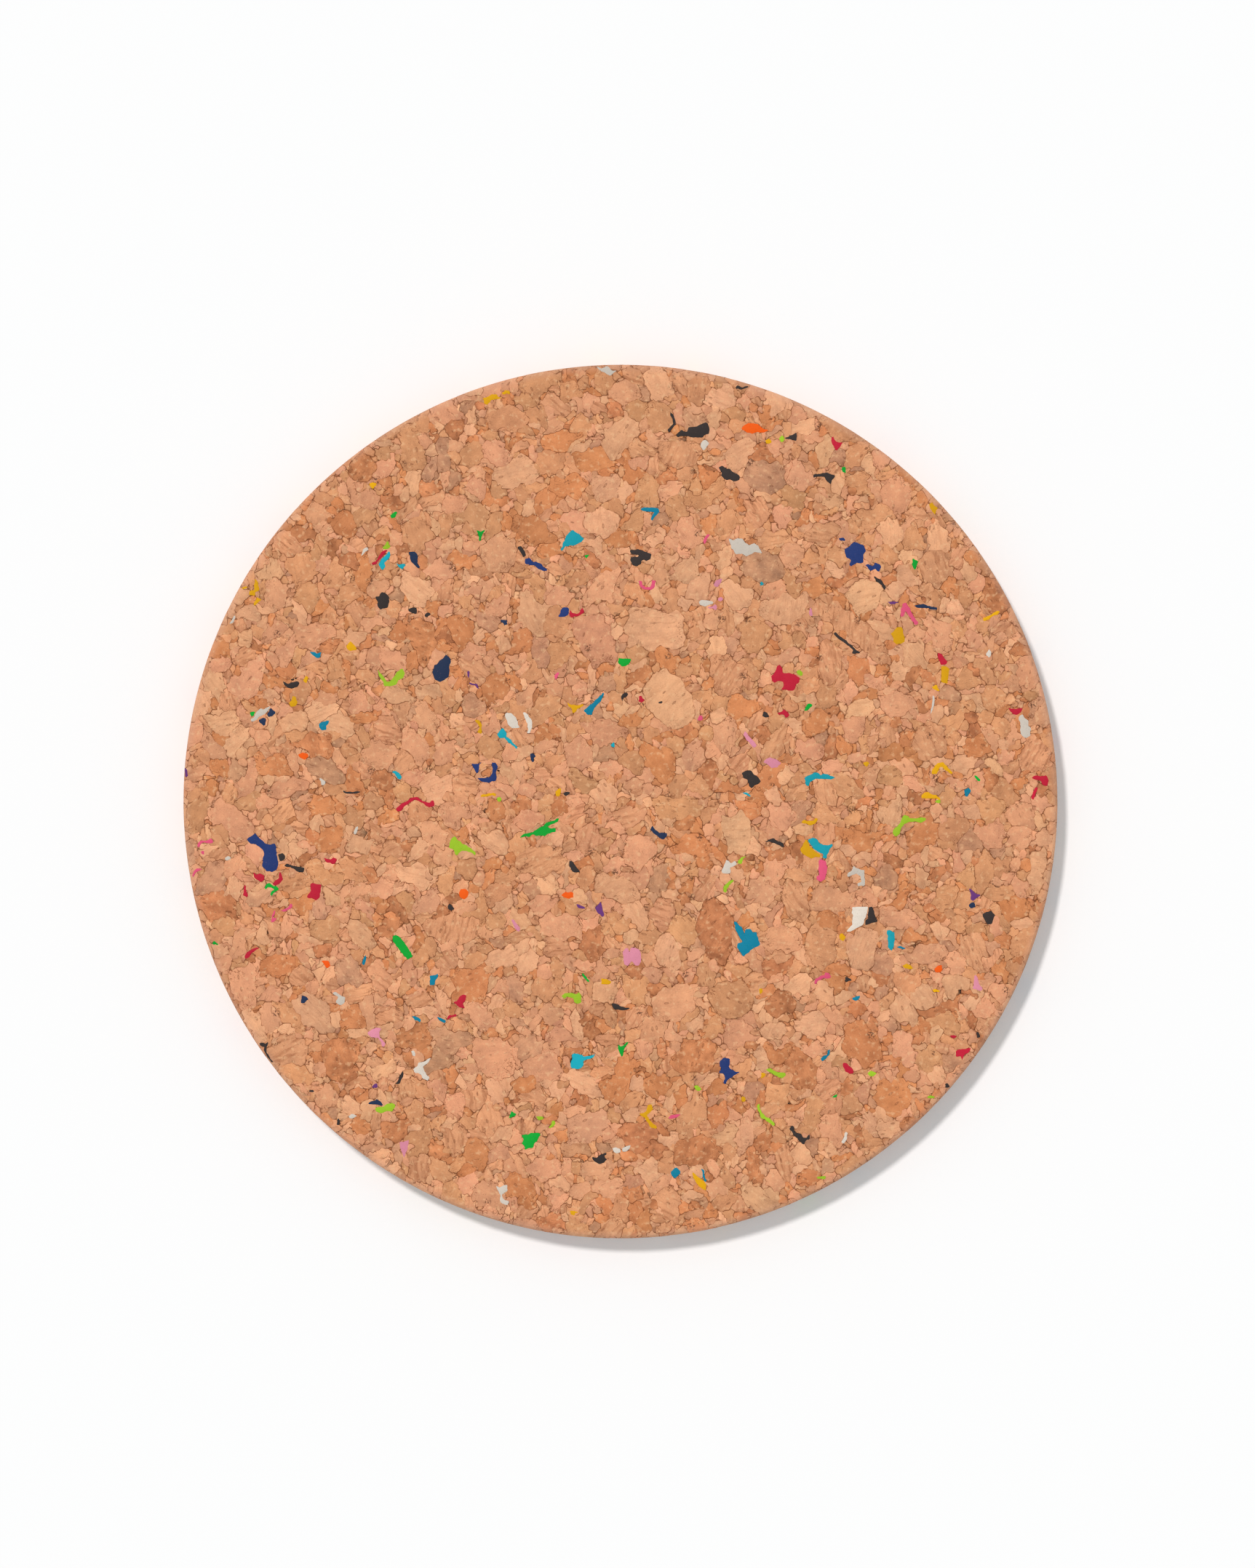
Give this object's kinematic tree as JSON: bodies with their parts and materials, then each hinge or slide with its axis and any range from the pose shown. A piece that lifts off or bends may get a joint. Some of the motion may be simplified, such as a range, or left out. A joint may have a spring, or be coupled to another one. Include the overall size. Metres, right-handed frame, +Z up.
{
  "type": "trivet",
  "caption": "Round flat trivet pressed from cork granules, flecked all over with small coloured foam chips, with softly rounded rims.",
  "frame": {"origin": "centre of the resting face, on the disc's axis", "axes": "+Z up along the disc's axis, +X to the picture's right, +Y to the picture's top"},
  "size_m": [0.195, 0.195, 0.01],
  "materials": {
    "cork_body": "raw pressed cork",
    "pale_granules": "raw pressed cork",
    "rosy_granules": "raw pressed cork",
    "tan_granules": "raw pressed cork",
    "orange_tan_granules": "raw pressed cork",
    "bark_granules": "raw pressed cork",
    "grey_granules": "raw pressed cork",
    "striped_granules": "raw pressed cork",
    "black_chips": "matt closed-cell foam",
    "navy_chips": "matt closed-cell foam",
    "royal_blue_chips": "matt closed-cell foam",
    "teal_chips": "matt closed-cell foam",
    "turquoise_chips": "matt closed-cell foam",
    "green_chips": "matt closed-cell foam",
    "lime_chips": "matt closed-cell foam",
    "yellow_chips": "matt closed-cell foam",
    "orange_chips": "matt closed-cell foam",
    "red_chips": "matt closed-cell foam",
    "pink_chips": "matt closed-cell foam",
    "lilac_chips": "matt closed-cell foam",
    "purple_chips": "matt closed-cell foam",
    "white_chips": "matt closed-cell foam"
  },
  "bodies": {
    "root": {"cork_body": "cork_body", "pale_granules": "pale_granules", "rosy_granules": "rosy_granules", "tan_granules": "tan_granules", "orange_tan_granules": "orange_tan_granules", "bark_granules": "bark_granules", "grey_granules": "grey_granules", "striped_granules": "striped_granules", "black_chips": "black_chips", "navy_chips": "navy_chips", "royal_blue_chips": "royal_blue_chips", "teal_chips": "teal_chips", "turquoise_chips": "turquoise_chips", "green_chips": "green_chips", "lime_chips": "lime_chips", "yellow_chips": "yellow_chips", "orange_chips": "orange_chips", "red_chips": "red_chips", "pink_chips": "pink_chips", "lilac_chips": "lilac_chips", "purple_chips": "purple_chips", "white_chips": "white_chips"}
  },
  "joints": []
}
